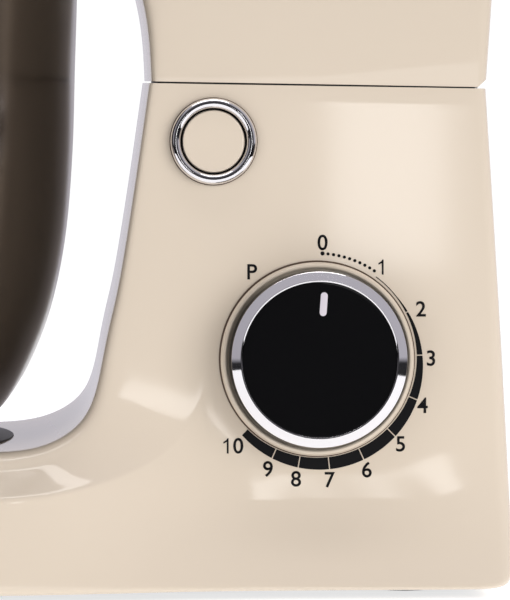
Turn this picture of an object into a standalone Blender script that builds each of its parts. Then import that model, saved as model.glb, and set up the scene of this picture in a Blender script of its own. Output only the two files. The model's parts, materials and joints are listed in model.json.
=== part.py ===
"""Tilt-head stand mixer with a side dial, a round release button and a bayonet bowl.

Lengths are in millimetres and are turned into metres as each mesh is made.
+X runs to the rear, the dial is on the -Y side, +Z is up, and the feet stand on z = 0.
"""

import math

import bmesh
import bpy
from mathutils import Matrix, Vector

MM = 0.001
GAP = 0.3                       # running and resting clearance between neighbouring pieces

# Base and column
BOWL_X = -77.0                  # axis of the bowl and of the planetary head
BASE_RADIUS = 105.0             # round front of the base, around the bowl axis
BASE_BOTTOM = 3.0
DECK_Z = 52.0
CREASE_Z = 36.5                 # height of the skirt around the front
BASE_NECK = 91.0                # half width of the skirt between bowl and column
COLUMN_HALF = 58.0              # half width of the column at the seam
SIDE_DRAFT = 0.047              # the column widens by this much per mm going down
SEAM_Z = 184.0                  # where the column ends and the head begins
SHELL = 2.2

# Head
HEAD_TOP = 355.0
HEAD_UNDER = 250.0
HEAD_HALF = 62.0
HEAD_SPLIT = 300.0
NOSE_X = -196.0
NOSE_ROUND = 50.0

# Hinge
HINGE_X = 183.6
HINGE_Z = 182.9
BARREL_R = 2.6
PIN_R = 1.5
TILT_DEG = 40.0
HINGE_HALF = 31.5               # half width of the notch that the knuckles fill

# Dial and button, on the side at -Y
DIAL_X, DIAL_Z = 125.35, 85.1
DIAL_PROTRUSION = 15.0
DIAL_FACE_R = 27.6
DIAL_RING_R = 31.5
COLLAR_R = 34.9
POINTER_DEG = 4.0
BUTTON_X, BUTTON_Z = 88.1, 163.4
BUTTON_R = 11.1
BEZEL_R = 15.6

# Bowl
BOWL_WALL = 1.1
RIM_Z = 240.0
SEAT_R = 92.4
SEAT_TOP = 53.1
SEAT_FLOOR = 46.0
RECESS_R = 70.0
FOOT_R = 65.0
TABS = 3

# Drive train: belt stage, gear stage, planetary stage
MOTOR_X = 125.0
CHASSIS_Z = 262.0
CHASSIS_T = 4.0
GEAR_MODULE = 1.25
MAIN_TEETH, PINION_TEETH = 56, 14
PLANET_MODULE = 1.625
RING_TEETH, PLANET_TEETH = 48, 16
PLANET_OFFSET = PLANET_MODULE * (RING_TEETH - PLANET_TEETH) / 2
LAYSHAFT_X = BOWL_X + GEAR_MODULE * (MAIN_TEETH + PINION_TEETH) / 2
BIG_PULLEY_R, SMALL_PULLEY_R = 34.0, 8.5
PULLEY_Z, PULLEY_H = 278.0, 12.0

CREAM = (0.72, 0.63, 0.50)
BLACK = (0.012, 0.012, 0.013)
DARK = (0.06, 0.06, 0.065)
GREY = (0.28, 0.28, 0.29)
STEEL = (0.55, 0.55, 0.56)
BRASS = (0.62, 0.45, 0.18)
COPPER = (0.60, 0.28, 0.14)
GREEN = (0.03, 0.20, 0.08)

parts = bpy.data.collections.new("stand_mixer")
cutters = bpy.data.collections.new("cutters")
bodies = {}


# ---------------------------------------------------------------- small helpers

def clear_scene():
    for obj in list(bpy.data.objects):
        bpy.data.objects.remove(obj, do_unlink=True)
    bpy.context.scene.collection.children.link(parts)
    bpy.context.scene.collection.children.link(cutters)


def smooth(t):
    t = min(max(t, 0.0), 1.0)
    return t * t * (3.0 - 2.0 * t)


def mix(a, b, t):
    return a + (b - a) * t


def place(x, y, z):
    return Matrix.Translation(Vector((x, y, z)) * MM)


def side_frame(x, z):
    """Frame on the column's -Y side: local Z points straight out of the sloping side."""
    slope = math.atan(SIDE_DRAFT)
    stand_off = 0.3
    return place(x, -base_half_width(x, z) - stand_off, z) @ Matrix.Rotation(math.radians(90) - slope, 4, "X")


def across(x, z, y=0.0):
    """Frame whose local XY plane is the world XZ plane and whose local Z points to -Y."""
    return place(x, y, z) @ Matrix.Rotation(math.radians(90), 4, "X")


def material(name, colour, roughness, metallic):
    mat = bpy.data.materials.get(name) or bpy.data.materials.new(name)
    mat.use_nodes = True
    shader = mat.node_tree.nodes["Principled BSDF"]
    shader.inputs["Base Color"].default_value = (*colour, 1.0)
    shader.inputs["Roughness"].default_value = roughness
    shader.inputs["Metallic"].default_value = metallic
    return mat


def finish(obj, body, colour, roughness=0.4, metallic=0.0):
    """Gives a piece its own material, its collection and the body it moves with."""
    obj.data.materials.clear()
    obj.data.materials.append(material(obj.name, colour, roughness, metallic))
    for owner in list(obj.users_collection):
        owner.objects.unlink(obj)
    parts.objects.link(obj)
    if obj.type == "MESH":
        obj.data.shade_smooth()
        obj.data.set_sharp_from_angle(angle=math.radians(35))
    if body in bodies:
        obj.parent = bodies[body]
        obj.matrix_parent_inverse = bodies[body].matrix_world.inverted()
    return obj


def body_empty(name, frame):
    """An empty on a joint's axis, which carries the pieces of one moving body."""
    empty = bpy.data.objects.new(f"axis_{name}", None)
    empty.matrix_world = frame
    parts.objects.link(empty)
    bodies[name] = empty


def mesh_object(name, bm, frame=None):
    mesh = bpy.data.meshes.new(name)
    bm.to_mesh(mesh)
    bm.free()
    obj = bpy.data.objects.new(name, mesh)
    parts.objects.link(obj)
    obj.matrix_world = frame or Matrix.Identity(4)
    return obj


def box(name, low, high, frame=None):
    bm = bmesh.new()
    bmesh.ops.create_cube(bm, size=1.0)
    for vert in bm.verts:
        unit = [vert.co[i] + 0.5 for i in range(3)]
        vert.co = Vector([mix(low[i], high[i], unit[i]) for i in range(3)]) * MM
    return mesh_object(name, bm, frame)


def rod(name, radius, low, high, frame, segments=20):
    """A cylinder along the frame's local Z, from low to high."""
    bm = bmesh.new()
    bmesh.ops.create_cone(bm, cap_ends=True, segments=segments, radius1=radius * MM,
                          radius2=radius * MM, depth=(high - low) * MM)
    bmesh.ops.translate(bm, verts=bm.verts, vec=(0, 0, (low + high) / 2 * MM))
    return mesh_object(name, bm, frame)


def turned(name, profile, frame, steps=32, closed=False):
    """Turns (radius, height) points about local Z; the outer side is listed top to bottom."""
    bm = bmesh.new()
    verts = [bm.verts.new((r * MM, 0.0, z * MM)) for r, z in profile]
    for a, b in zip(verts, verts[1:]):
        bm.edges.new((a, b))
    if closed:
        bm.edges.new((verts[-1], verts[0]))
    obj = mesh_object(name, bm, frame)
    screw = obj.modifiers.new("turn", "SCREW")
    screw.steps = screw.render_steps = steps
    screw.use_merge_vertices = True
    screw.merge_threshold = 0.00002
    return obj


def flat(name, outlines, thickness, frame):
    """A flat piece from closed outlines in local XY; later outlines inside the first are holes."""
    curve = bpy.data.curves.new(name, "CURVE")
    curve.dimensions = "2D"
    curve.fill_mode = "BOTH"
    curve.extrude = thickness / 2 * MM
    for outline in outlines:
        spline = curve.splines.new("POLY")
        spline.points.add(len(outline) - 1)
        for point, (x, y) in zip(spline.points, outline):
            point.co = (x * MM, y * MM, 0.0, 1.0)
        spline.use_cyclic_u = True
    obj = bpy.data.objects.new(name, curve)
    parts.objects.link(obj)
    obj.matrix_world = frame @ Matrix.Translation((0, 0, thickness / 2 * MM))
    return obj


def as_mesh(obj):
    """Replaces an object by the mesh that its modifiers or its curve make."""
    bpy.context.view_layer.update()
    evaluated = obj.evaluated_get(bpy.context.evaluated_depsgraph_get())
    mesh = bpy.data.meshes.new_from_object(evaluated)
    bm = bmesh.new()
    bm.from_mesh(mesh)
    bmesh.ops.remove_doubles(bm, verts=bm.verts, dist=0.00001)
    name, frame = obj.name, obj.matrix_world.copy()
    bpy.data.objects.remove(obj, do_unlink=True)
    bpy.data.meshes.remove(mesh)
    return mesh_object(name, bm, frame)


def combine(obj, tool, operation):
    """Adds a Boolean by an object that then goes with the cutters."""
    tool.hide_render = True
    tool.display_type = "WIRE"
    for owner in list(tool.users_collection):
        owner.objects.unlink(tool)
    cutters.objects.link(tool)
    boolean = obj.modifiers.new(tool.name, "BOOLEAN")
    boolean.operation = operation
    boolean.solver = "EXACT"
    boolean.object = tool


def cut(obj, tool):
    combine(obj, tool, "DIFFERENCE")


def join(obj, tool):
    combine(obj, tool, "UNION")


# ---------------------------------------------------------------- outlines

def arc(radius, start, end, count, centre=(0.0, 0.0)):
    """Points on an arc, in degrees from local +X, both ends included."""
    angles = [math.radians(mix(start, end, i / (count - 1))) for i in range(count)]
    return [(centre[0] + radius * math.cos(a), centre[1] + radius * math.sin(a)) for a in angles]


def circle(radius, count=24, centre=(0.0, 0.0)):
    return arc(radius, 0.0, 360.0 * (count - 1) / count, count, centre)


def sector(inner, outer, start, end, count=5):
    return arc(outer, start, end, count) + arc(inner, end, start, count)


def rounded_box(x0, x1, y0, y1, radius, count=4):
    corners = ((x1, y1, 0), (x0, y1, 90), (x0, y0, 180), (x1, y0, 270))
    points = []
    for x, y, start in corners:
        centre = (x - math.copysign(radius, x - (x0 + x1) / 2), y - math.copysign(radius, y))
        points += arc(radius, start, start + 90, count, centre)
    return points


def gear(teeth, module, phase=0.0, inside=False):
    """Outline of a spur gear with straight flanks and generous backlash."""
    pitch = module * teeth / 2
    sign = -1.0 if inside else 1.0
    root, tip = pitch - sign * 1.2 * module, pitch + sign * 0.85 * module
    step = 2 * math.pi / teeth
    points = []
    for i in range(teeth):
        middle = phase + i * step
        for radius, part in ((root, -0.28), (tip, -0.10), (tip, 0.10), (root, 0.28)):
            angle = middle + part * step
            points.append((radius * math.cos(angle), radius * math.sin(angle)))
    return points


def belt_outline(r_big, r_small, distance, count=16):
    """Loop around a big pulley at the origin and a small one at +X."""
    lean = math.degrees(math.acos((r_big - r_small) / distance))
    return (arc(r_big, lean, 360 - lean, count * 2)
            + arc(r_small, -lean, lean, count, (distance, 0.0)))


# ---------------------------------------------------------------- the two bent shells

def skirt_radius(z):
    """The round front leans in a little going up."""
    return BASE_RADIUS - 0.06 * (z - BASE_BOTTOM)


def base_half_width(x, z):
    """Half width of the outer side surface of the base and the column."""
    radius = skirt_radius(z)
    around = math.sqrt(max(radius ** 2 - (x - BOWL_X) ** 2, 0.0))
    fade = smooth((x + 160.0) / 60.0)
    straight = fade * (BASE_NECK - 0.09 * (z - BASE_BOTTOM))
    front = (around + straight + math.hypot(around - straight, 4.0 * fade)) / 2
    flare = 13.5 * max(0.0, (38.0 - z) / 35.0) ** 1.5
    column = COLUMN_HALF + SIDE_DRAFT * (SEAM_Z - z) + flare
    return mix(front, column, smooth((x - 20.0) / 70.0))


def bent_section(outer, middle, inner, half_at, inner_half, round_out, round_in, bulge):
    """Half of a closed section between the outer and the inner line of a bent shell.

    The section starts on the mirror plane at the outer line, runs over the side and ends
    on the mirror plane at the inner line. Points are (x, y, z).
    """
    outer, middle, inner = Vector(outer), Vector(middle), Vector(inner)
    out_dir = (middle - outer).normalized()
    in_dir = (middle - inner).normalized()

    def side(point):
        return half_at(point.x, point.y)

    r_out = min(round_out, 0.45 * side(outer))
    r_in = min(round_in, 0.45 * inner_half)
    low = outer + out_dir * r_out
    high = inner + in_dir * r_in
    rows = [(outer, 0.0), (outer, side(outer) - r_out),
            (outer + out_dir * 0.29 * r_out, side(outer) - 0.29 * r_out), (low, side(low))]
    for part in (0.2, 0.42, 0.68, 1.0):
        point = low.lerp(middle, part)
        rows.append((point, side(point)))
    rows += [(middle.lerp(high, 0.5), mix(side(middle), inner_half, 0.5)), (high, inner_half),
             (inner + in_dir * 0.29 * r_in, inner_half - 0.29 * r_in),
             (inner, inner_half - r_in), (inner - in_dir * bulge, 0.0)]
    return [(point.x, half, point.y) for point, half in rows]


def bent_shell(name, sections, open_rows, split=None):
    """Skins the sections, mirrors them to the other side and gives them a wall.

    open_rows lists the section numbers from which the outer face is left open, and split
    is (height, keep_above) for a shell that ends at a level joint.
    """
    bm = bmesh.new()
    grid = [[bm.verts.new(Vector(p) * MM) for p in section] for section in sections]
    for i, (near, far) in enumerate(zip(grid, grid[1:])):
        for j in range(len(near) - 1):
            if j == 0 and i in open_rows:
                continue
            bm.faces.new((near[j], near[j + 1], far[j + 1], far[j]))
    bmesh.ops.remove_doubles(bm, verts=bm.verts, dist=0.00002)
    if split:
        height, keep_above = split
        geometry = bm.verts[:] + bm.edges[:] + bm.faces[:]
        bmesh.ops.bisect_plane(bm, geom=geometry, plane_co=(0, 0, height * MM),
                               plane_no=(0, 0, 1), clear_inner=keep_above,
                               clear_outer=not keep_above)
    loose = [v for v in bm.verts if not v.link_faces]
    bmesh.ops.delete(bm, geom=loose, context="VERTS")
    obj = mesh_object(name, bm)
    mirror = obj.modifiers.new("halves", "MIRROR")
    mirror.use_axis = (False, True, False)
    mirror.merge_threshold = 0.0001
    wall = obj.modifiers.new("wall", "SOLIDIFY")
    wall.thickness = SHELL * MM
    wall.offset = -1.0
    wall.use_even_offset = True
    return obj


def base_sections():
    """The round front, then the deck, the corner and the column up to the seam."""
    sections = []
    deck_radius = 96.0
    for degrees in (0, 15, 30, 45, 60, 75, 90):
        turn = math.radians(degrees)
        c, s = math.cos(turn), math.sin(turn)
        foot_r, crease_r = skirt_radius(BASE_BOTTOM), skirt_radius(CREASE_Z)
        sections.append(bent_section(
            (BOWL_X - foot_r * c, BASE_BOTTOM), (BOWL_X - crease_r * c, CREASE_Z),
            (BOWL_X - deck_radius * c, DECK_Z),
            lambda x, z, s=s: skirt_radius(z) * s, deck_radius * s, 3.0, 6.0, 0.0))
    bends = (
        # outer x, z      middle x, z    inner x, z     inner half, rounds, bulge
        ((-35, 3), (-35, 36.5), (-37, 52), 86.5, 3.0, 6.0, 0.0),
        ((0, 3), (-2, 36.7), (-5, 52), 76.8, 3.0, 6.0, 0.0),
        ((40, 3), (20, 37.5), (16, 52), 75.5, 3.0, 6.0, 0.0),
        ((80, 3), (38, 39.5), (27.5, 54.2), 74.5, 3.0, 5.5, 0.0),
        ((120, 3), (55, 44), (36, 58.8), 71.0, 3.0, 5.0, 0.0),
        ((155, 3), (68, 49.5), (42.5, 65), 67.5, 3.0, 4.5, 0.2),
        ((180, 3), (76, 56), (46.5, 73), 65.5, 3.2, 4.0, 0.4),
        ((191, 5), (81, 64), (49, 81), 64.3, 5.0, 3.6, 0.8),
        ((196, 14), (84, 72), (50.6, 90), 63.2, 7.0, 3.4, 1.2),
        ((194.6, 36), (86.8, 84), (52, 99), 62.1, 6.0, 3.2, 1.3),
        ((192.8, 62), (89, 97), (54, 110), 61.3, 4.0, 3.2, 1.3),
        ((190.5, 106), (91, 122), (57, 130), 60.5, 3.2, 3.2, 1.3),
        ((188.2, 146), (92, 152), (61, 156), 59.3, 3.2, 3.2, 1.3),
        ((186, 182.4), (92, 183.9), (64.7, 184.4), 58.0, 3.2, 3.2, 1.3),
    )
    for outer, middle, inner, half, r_out, r_in, bulge in bends:
        sections.append(bent_section(outer, middle, inner, base_half_width, half,
                                     r_out, r_in, bulge))
    return sections


def head_half_width(x, z):
    neck = COLUMN_HALF - 0.3 + 0.03 * (z - SEAM_Z)
    return mix(neck, HEAD_HALF, smooth((z - 205.0) / 60.0))


def head_sections():
    """The rounded nose, then the head, its rear corner and the neck down to the seam."""
    sections = []
    for degrees in (0, 15, 32, 50, 70, 90):
        turn = math.radians(degrees)
        x = NOSE_X + NOSE_ROUND * (1.0 - math.cos(turn) ** 0.8)
        half = HEAD_HALF * math.sin(turn) ** 0.8
        drop = 8.0 * math.cos(turn)
        sections.append(bent_section(
            (x, HEAD_TOP - 1.4 * drop), (x, HEAD_SPLIT), (x, HEAD_UNDER + drop),
            lambda px, pz, half=half: half, half, 16.0, 7.0, 0.0))
    bends = (
        ((-100, 355), (-100, 300), (-100, 250), 62, 16, 7, 0),
        ((-20, 355), (-20, 300), (-20, 250), 62, 16, 7, 0),
        ((60, 355), (45, 300), (28, 250.2), 62, 16, 6, 0),
        ((110, 355), (76, 282), (44, 245), 61.4, 16, 6, 0),
        ((148, 354.5), (100, 266), (53, 236), 60.8, 15, 5.5, 0.4),
        ((176, 350), (113, 252), (58.5, 226), 60.2, 13, 5, 0.8),
        ((188, 334), (119, 240), (61.7, 214), 59.4, 10, 4.5, 1.2),
        ((190.6, 300), (122, 226), (63.6, 204), 58.6, 7, 4, 1.3),
        ((189.6, 245), (124, 208), (64.8, 195), 58.2, 4.5, 3.5, 1.3),
        ((186.1, 182.9), (125, 184.0), (65.4, 185.0), 57.8, 3.2, 3.2, 1.3),
    )
    for outer, middle, inner, half, r_out, r_in, bulge in bends:
        sections.append(bent_section(outer, middle, inner, head_half_width, half,
                                     r_out, r_in, bulge))
    return sections


# ---------------------------------------------------------------- base and column

def make_base():
    housing = as_mesh(bent_shell("base_housing", base_sections(), range(0, 14)))
    dial = side_frame(DIAL_X, DIAL_Z)
    button = side_frame(BUTTON_X, BUTTON_Z)
    for x, y in screw_places():
        join(housing, rod("screw_boss", 4.6, 6.0, DECK_Z - 1.0, place(x, y, 0), 12))
        cut(housing, rod("screw_bore", 1.9, 2.0, 20.0, place(x, y, 0), 12))
    cut(housing, rod("seat_hole", RECESS_R + 3.0, 40.0, 60.0, place(BOWL_X, 0, 0), 32))
    cut(housing, rod("dial_hole", 4.2, -12.0, 6.0, dial))
    cut(housing, rod("button_hole", BUTTON_R + 0.5, -12.0, 6.0, button, 24))
    cut(housing, rod("inlet_hole", 6.3, -12.0, 12.0, rear_frame(), 16))
    cut(housing, box("hinge_notch", (172, -HINGE_HALF, 176), (200, HINGE_HALF, 200)))
    finish(housing, "base", CREAM, 0.18)

    inset = 7.0
    stations = [BOWL_X - (BASE_RADIUS - inset) * math.cos(math.radians(a)) for a in range(0, 90, 15)]
    near = [(x, math.sqrt(max((BASE_RADIUS - inset) ** 2 - (x - BOWL_X) ** 2, 0.0)))
            for x in stations[1:]]
    near += [(x, base_half_width(x, BASE_BOTTOM) - inset) for x in (-60, -30, 0, 30, 60, 90, 130, 170)]
    near += [(180, 64.0), (185, 58.0), (186.5, 48.0)]
    outline = [(stations[0], 0.0)] + near + [(x, -y) for x, y in reversed(near)]
    holes = [circle(2.0, 12, place_xy) for place_xy in screw_places()]
    finish(flat("bottom_plate", [outline] + holes, 2.0, place(0, 0, 3.4)), "base", GREY, 0.6)

    for i, (x, y) in enumerate(screw_places(), 1):
        profile = ((0, 3.1), (1.5, 3.1), (3.6, 3.1), (3.6, 2.2), (3.0, 1.6), (0, 1.6))
        head = as_mesh(turned(f"screw_{i}", profile, place(x, y, 0), 12))
        join(head, rod("shank", 1.5, 2.6, 16.0, place(x, y, 0), 12))
        finish(head, "base", STEEL, 0.35, 1.0)
    for i, (x, y) in enumerate(foot_places(), 1):
        profile = ((0, 3.1), (12.5, 3.1), (14.0, 1.4), (14.5, 0.0), (0, 0.0))
        finish(turned(f"suction_foot_{i}", profile, place(x, y, 0), 16), "base", DARK, 0.8)

    make_seat()
    make_column_fittings(dial, button)


def screw_places():
    return [(-150.0, -38.0), (-150.0, 38.0), (15.0, -52.0), (15.0, 52.0)]


def foot_places():
    return [(-128.0, -62.0), (-128.0, 62.0), (158.0, -40.0), (158.0, 40.0)]


def rear_frame():
    """Frame at the mains inlet, with local Z pointing out of the rear wall."""
    return place(195.2, -34.0, 30.0) @ Matrix.Rotation(math.radians(90), 4, "Y")


def make_seat():
    """The dark plate on the deck that takes the bowl, with three bayonet lugs."""
    profile = ((0, SEAT_FLOOR), (RECESS_R - 0.5, SEAT_FLOOR), (RECESS_R - 0.5, SEAT_TOP),
               (SEAT_R, SEAT_TOP), (SEAT_R, SEAT_TOP - 0.8), (RECESS_R + 2.6, SEAT_TOP - 0.8),
               (RECESS_R + 2.6, 43.8), (0, 43.8))
    seat = as_mesh(turned("bowl_seat", profile, place(BOWL_X, 0, 0), 36))
    for i in range(TABS):
        start = i * 360 / TABS
        lug = sector(66.0, RECESS_R + 0.5, start, start + 24, 4)
        join(seat, as_mesh(flat("lug", [lug], 2.0, place(BOWL_X, 0, 50.4))))
    finish(seat, "base", DARK, 0.5)


def make_column_fittings(dial, button):
    cap = rounded_box(68.0, 182.3, -55.2, 55.2, 3.0)
    window = [(72, -34), (102, -34), (102, -13), (72, -13)]
    plate = as_mesh(flat("column_cap", [cap, window], 2.0, place(0, 0, 177.0)))
    cut(plate, box("cap_notch", (170, -HINGE_HALF, 170), (190, HINGE_HALF, 190)))
    finish(plate, "base", DARK, 0.6)

    ring = ((11.7, 2.0), (12.4, 3.0), (13.5, 3.4), (14.6, 3.0), (BEZEL_R, 1.9),
            (BEZEL_R, GAP), (11.7, GAP))
    finish(turned("button_bezel", ring, button, 24, closed=True), "base", STEEL, 0.08, 1.0)
    guide = turned("latch_guide", ((3.6, -14.2), (9.0, -14.2), (9.0, -17.0), (3.6, -17.0)),
                   button, 20, closed=True)
    guide = as_mesh(guide)
    join(guide, box("guide_foot", (-6, -15.5, -16.8), (6, -6.0, -14.4), button))
    join(guide, box("guide_arm", (-6, -15.3, -16.6), (6, -12.5, -3.2), button))
    finish(guide, "base", DARK, 0.6)

    collar = ((32.9, 2.2), (33.6, 2.8), (34.5, 2.6), (COLLAR_R, 1.6), (COLLAR_R, GAP), (32.9, GAP))
    finish(turned("dial_collar", collar, dial, 36, closed=True), "base", CREAM, 0.2)
    switch = ((3.4, -2.9), (15.0, -2.9), (15.0, -17.0), (3.4, -17.0))
    finish(turned("speed_switch", switch, dial, 24, closed=True), "base", DARK, 0.6)

    finish(box("control_board", (78, -31, 58), (160, -29.4, 132)), "base", GREEN, 0.5)
    finish(turned("capacitor", ((0, 26.0), (8, 26.0), (8, 0), (0, 0)),
                  across(140, 110, -29.1) @ Matrix.Rotation(math.pi, 4, "X"), 16),
           "base", (0.5, 0.4, 0.1), 0.4)
    fins = [(0, 0), (34, 0)]
    for i in range(5):
        x = 34 - i * 7.5
        fins += [(x, 4), (x, 18), (x - 4, 18), (x - 4, 4)]
    finish(flat("heat_sink", [fins], 40.0, place(86, -29.0, 64)), "base", STEEL, 0.5, 1.0)
    finish(box("interlock_switch", (112, -26, 156), (132, -18, 168)), "base", DARK, 0.5)

    gland = ((3.6, 0.8), (7.4, 0.8), (7.4, GAP), (5.9, GAP), (5.9, -8.0), (3.6, -8.0))
    finish(turned("cord_gland", gland, rear_frame(), 20, closed=True), "base", DARK, 0.7)

    knuckle = arc(BARREL_R, -60, 190, 10) + [(-5.1, -7), (-5.1, -25), (-0.9, -25), (-0.9, -6)]
    hole = circle(PIN_R + 0.1, 12)
    for name, y in (("column_knuckle_left", -14.4), ("column_knuckle_right", 31.1)):
        finish(flat(name, [knuckle, hole], 16.7, across(HINGE_X, HINGE_Z, y)), "base", STEEL, 0.3, 1.0)
    finish(rod("hinge_pin", PIN_R, -30.8, 30.8, across(HINGE_X, HINGE_Z), 12), "base", STEEL, 0.2, 1.0)


# ---------------------------------------------------------------- dial and release button

def make_dial():
    frame = side_frame(DIAL_X, DIAL_Z)
    body_empty("knob", frame)
    top = DIAL_PROTRUSION
    bpy.context.view_layer.update()
    knob = ((0, top), (DIAL_FACE_R, top), (DIAL_FACE_R, top - 3.0), (DIAL_RING_R - 0.2, top - 3.0),
            (32.0, 1.0), (0, 1.0))
    finish(turned("speed_knob", knob, frame, 36), "knob", BLACK, 0.12)
    bevel = ((DIAL_FACE_R + GAP, top + 0.5), (28.8, top + 0.8), (DIAL_RING_R, top - 1.4),
             (DIAL_RING_R, top - 2.6), (DIAL_FACE_R + GAP, top - 2.6))
    finish(turned("knob_ring", bevel, frame, 36, closed=True), "knob", STEEL, 0.1, 1.0)
    turn = Matrix.Rotation(-math.radians(POINTER_DEG), 4, "Z")
    bar = rounded_box(-1.25, 1.25, -4.2, 4.2, 1.2)
    pointer = flat("knob_pointer", [bar], 0.6, frame @ turn @ place(0, 19.9, top + GAP))
    finish(pointer, "knob", (0.75, 0.72, 0.76), 0.3)
    finish(rod("knob_shaft", 3.0, -15.0, 0.7, frame, 12), "knob", STEEL, 0.3, 1.0)


def make_button():
    frame = side_frame(BUTTON_X, BUTTON_Z)
    body_empty("button", frame)
    bpy.context.view_layer.update()
    cap = ((0, 2.0), (BUTTON_R - 0.6, 2.0), (BUTTON_R, 1.4), (BUTTON_R, -4.5),
           (3.2, -4.5), (3.2, -34.2), (0, -34.2))
    finish(turned("release_button", cap, frame, 28), "button", CREAM, 0.2)
    finish(box("latch_bolt", (-6, -3.5, -41), (6, 8.5, -34.5), frame), "button", STEEL, 0.3, 1.0)
    coil = bpy.data.curves.new("button_spring", "CURVE")
    coil.dimensions = "3D"
    coil.bevel_depth = 0.45 * MM
    coil.bevel_resolution = 1
    coil.use_fill_caps = True
    spline = coil.splines.new("POLY")
    turns, per_turn, low, high = 3, 7, -13.4, -5.3
    count = turns * per_turn + 1
    spline.points.add(count - 1)
    for i, point in enumerate(spline.points):
        angle = 2 * math.pi * i / per_turn
        height = mix(low, high, i / (count - 1))
        point.co = (5.6 * MM * math.cos(angle), 5.6 * MM * math.sin(angle), height * MM, 1.0)
    spring = bpy.data.objects.new("button_spring", coil)
    parts.objects.link(spring)
    spring.matrix_world = frame
    finish(spring, "button", STEEL, 0.3, 1.0)


# ---------------------------------------------------------------- bowl

def make_bowl():
    frame = place(BOWL_X, 0, 0)
    body_empty("bowl", frame)
    bpy.context.view_layer.update()
    profile = ((118.8, RIM_Z - 4.6), (118.9, RIM_Z - 2.0), (117.9, RIM_Z - 1.0),
               (116.6, RIM_Z - 3.0), (116.4, 215), (114.7, 160), (112.4, 131), (108.3, 108),
               (102.5, 89.5), (94.5, 73), (85, 61), (73, 55), (62, 54), (0, 54))
    bowl = turned("bowl", profile, frame, 40)
    wall = bowl.modifiers.new("wall", "SOLIDIFY")
    wall.thickness = BOWL_WALL * MM
    wall.offset = -1.0
    finish(bowl, "bowl", (0.16, 0.13, 0.12), 0.25, 1.0)

    ring = ((56.0, 53.6), (FOOT_R - 1.0, 53.6), (FOOT_R, 52.0), (FOOT_R, 46.4), (56.0, 46.4))
    foot = as_mesh(turned("bowl_foot", ring, frame, 30, closed=True))
    for i in range(TABS):
        start = i * 360 / TABS + 3
        tab = sector(FOOT_R - 1.5, 68.4, start, start + 18, 4)
        join(foot, as_mesh(flat("tab", [tab], 2.4, place(BOWL_X, 0, 47.2))))
    finish(foot, "bowl", STEEL, 0.3, 1.0)


# ---------------------------------------------------------------- head

def make_head_shells():
    body_empty("head", place(HINGE_X, 0, HINGE_Z))
    bpy.context.view_layer.update()
    sections = head_sections()
    upper = bent_shell("head_upper_shell", sections, (), (HEAD_SPLIT + GAP, True))
    finish(as_mesh(upper), "head", CREAM, 0.18)
    lower = as_mesh(bent_shell("head_lower_shell", sections, (), (HEAD_SPLIT, False)))
    cut(lower, rod("hub_hole", 52.2, 240, 258, place(BOWL_X, 0, 0), 32))
    cut(lower, box("neck_notch", (172, -HINGE_HALF, 170), (200, HINGE_HALF, 192)))
    lean = Matrix.Rotation(-math.radians(TILT_DEG + 1.0), 4, "Y")
    cut(lower, box("rear_relief", (0.0, -80, -20), (30, 80, 0.0), place(HINGE_X, 0, HINGE_Z) @ lean))
    finish(lower, "head", CREAM, 0.18)

    plate = as_mesh(flat("neck_plate", [rounded_box(69.6, 182.3, -54.6, 54.6, 3.0)], 2.0,
                         place(0, 0, 189.0)))
    cut(plate, box("plate_notch", (170, -HINGE_HALF, 180), (190, HINGE_HALF, 200)))
    finish(plate, "head", DARK, 0.6)
    hook = [(80, 186.5), (96, 186.5), (96, 169), (80, 169)]
    striker = flat("latch_striker", [[(x, z) for x, z in hook]], 3.0, across(0, 0, -25.5))
    finish(striker, "head", STEEL, 0.35, 1.0)

    arm = arc(BARREL_R, 60, -190, 10) + [(-5.1, 7), (-5.1, 24), (-0.9, 24), (-0.9, 6)]
    knuckle = flat("head_knuckle", [arm, circle(PIN_R + 0.1, 12)], 28.0,
                   across(HINGE_X, HINGE_Z, 14.0))
    finish(knuckle, "head", STEEL, 0.3, 1.0)


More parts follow.
